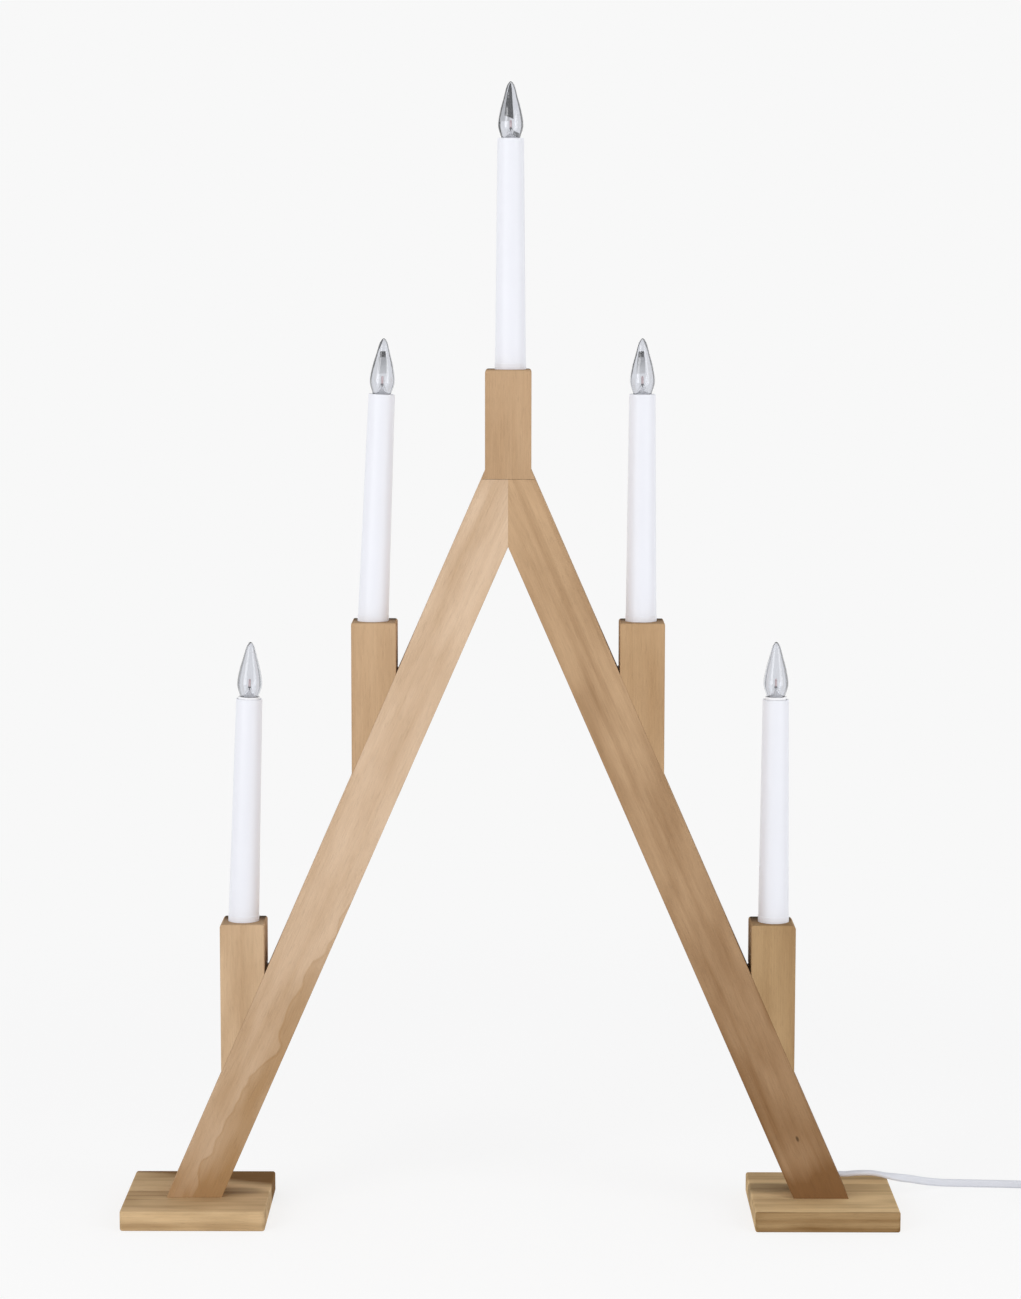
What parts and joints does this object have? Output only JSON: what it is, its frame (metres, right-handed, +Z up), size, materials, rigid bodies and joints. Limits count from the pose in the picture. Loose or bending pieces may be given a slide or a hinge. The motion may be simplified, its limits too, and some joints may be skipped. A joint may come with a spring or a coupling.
{
  "type": "advent candle holder",
  "caption": "Wooden A-frame advent candle holder on flat feet, with electric candles stepped along its legs and a mains lead with plug.",
  "frame": {"origin": "on the ground, midway between the two feet and midway front to back", "axes": "+Z up, +X towards the leg that the cord leaves from, -Y towards the viewer"},
  "size_m": [0.6254, 0.1441, 0.6462],
  "materials": {
    "stained_wood": "light tan stained softwood with straight grain, satin",
    "candle_plastic": "cool white moulded plastic, satin gloss",
    "socket_plastic": "off-white moulded plastic, matt",
    "socket_brass": "rolled brass sheet",
    "cap_metal": "nickel-plated thread, bright",
    "clear_bulb": "clear envelope, smooth",
    "light_source": "pale stem with a small clear light source",
    "lead_sheath": "white soft plastic sheath",
    "cord_sheath": "white soft plastic sheath, slight sheen",
    "white_plastic": "white moulded plastic, fine satin",
    "screw_steel": "zinc-plated steel",
    "plug_metal": "nickel-plated brass pins"
  },
  "bodies": {
    "root": {"left_leg": "stained_wood", "right_leg": "stained_wood", "left_foot": "stained_wood", "right_foot": "stained_wood", "top_block": "stained_wood", "left_upper_block": "stained_wood", "right_upper_block": "stained_wood", "left_lower_block": "stained_wood", "right_lower_block": "stained_wood", "left_foot_screw": "screw_steel", "right_foot_screw": "screw_steel", "cord_clip": "white_plastic", "clip_screw": "screw_steel", "feed_lead": "lead_sheath", "right_side_lead": "lead_sheath", "right_top_lead": "lead_sheath", "left_top_lead": "lead_sheath", "left_side_lead": "lead_sheath", "power_cord": "cord_sheath", "cord_coil": "cord_sheath", "cord_tie": "cord_sheath", "plug_body": "white_plastic", "plug_pin_left": "plug_metal", "plug_pin_right": "plug_metal", "top_candle_tube": "candle_plastic", "top_socket_body": "socket_plastic", "top_socket_shell": "socket_brass", "left_upper_candle_tube": "candle_plastic", "left_upper_socket_body": "socket_plastic", "left_upper_socket_shell": "socket_brass", "right_upper_candle_tube": "candle_plastic", "right_upper_socket_body": "socket_plastic", "right_upper_socket_shell": "socket_brass", "left_lower_candle_tube": "candle_plastic", "left_lower_socket_body": "socket_plastic", "left_lower_socket_shell": "socket_brass", "right_lower_candle_tube": "candle_plastic", "right_lower_socket_body": "socket_plastic", "right_lower_socket_shell": "socket_brass"},
    "top_tip": {"top_bulb_tip": "cap_metal"},
    "top_bulb": {"top_bulb_cap": "cap_metal", "top_bulb_glass": "clear_bulb", "top_bulb_led": "light_source"},
    "left_upper_tip": {"left_upper_bulb_tip": "cap_metal"},
    "left_upper_bulb": {"left_upper_bulb_cap": "cap_metal", "left_upper_bulb_glass": "clear_bulb", "left_upper_bulb_led": "light_source"},
    "right_upper_tip": {"right_upper_bulb_tip": "cap_metal"},
    "right_upper_bulb": {"right_upper_bulb_cap": "cap_metal", "right_upper_bulb_glass": "clear_bulb", "right_upper_bulb_led": "light_source"},
    "left_lower_tip": {"left_lower_bulb_tip": "cap_metal"},
    "left_lower_bulb": {"left_lower_bulb_cap": "cap_metal", "left_lower_bulb_glass": "clear_bulb", "left_lower_bulb_led": "light_source"},
    "right_lower_tip": {"right_lower_bulb_tip": "cap_metal"},
    "right_lower_bulb": {"right_lower_bulb_cap": "cap_metal", "right_lower_bulb_glass": "clear_bulb", "right_lower_bulb_led": "light_source"}
  },
  "joints": [
    {"name": "top_bulb_rise", "type": "slide", "parent": "root", "child": "top_tip", "axis": [0, 0, 1], "range_m": [0, 0.00725]},
    {"name": "top_bulb_turn", "type": "hinge", "parent": "top_tip", "child": "top_bulb", "pos_m": [-0.0003, 0, 0.61502], "axis": [0, 0, 1], "range_deg": [0, 1440]},
    {"name": "left_upper_bulb_rise", "type": "slide", "parent": "root", "child": "left_upper_tip", "axis": [0.0419, 0, 0.9991], "range_m": [0, 0.00725]},
    {"name": "left_upper_bulb_turn", "type": "hinge", "parent": "left_upper_tip", "child": "left_upper_bulb", "pos_m": [-0.07273, 0, 0.47271], "axis": [0.0419, 0, 0.9991], "range_deg": [0, 1440]},
    {"name": "right_upper_bulb_rise", "type": "slide", "parent": "root", "child": "right_upper_tip", "axis": [0, 0, 1], "range_m": [0, 0.00725]},
    {"name": "right_upper_bulb_turn", "type": "hinge", "parent": "right_upper_tip", "child": "right_upper_bulb", "pos_m": [0.0739, 0, 0.47283], "axis": [0, 0, 1], "range_deg": [0, 1440]},
    {"name": "left_lower_bulb_rise", "type": "slide", "parent": "root", "child": "left_lower_tip", "axis": [0.0332, 0, 0.9995], "range_m": [0, 0.00725]},
    {"name": "left_lower_bulb_turn", "type": "hinge", "parent": "left_lower_tip", "child": "left_lower_bulb", "pos_m": [-0.14881, 0, 0.30087], "axis": [0.0332, 0, 0.9995], "range_deg": [0, 1440]},
    {"name": "right_lower_bulb_rise", "type": "slide", "parent": "root", "child": "right_lower_tip", "axis": [0, 0, 1], "range_m": [0, 0.00725]},
    {"name": "right_lower_bulb_turn", "type": "hinge", "parent": "right_lower_tip", "child": "right_lower_bulb", "pos_m": [0.1508, 0, 0.30134], "axis": [0, 0, 1], "range_deg": [0, 1440]}
  ],
  "couplings": [
    {"joint": "top_bulb_rise", "follows": "top_bulb_turn", "m_per_rad": 0.00028807},
    {"joint": "left_upper_bulb_rise", "follows": "left_upper_bulb_turn", "m_per_rad": 0.00028807},
    {"joint": "right_upper_bulb_rise", "follows": "right_upper_bulb_turn", "m_per_rad": 0.00028807},
    {"joint": "left_lower_bulb_rise", "follows": "left_lower_bulb_turn", "m_per_rad": 0.00028807},
    {"joint": "right_lower_bulb_rise", "follows": "right_lower_bulb_turn", "m_per_rad": 0.00028807}
  ]
}
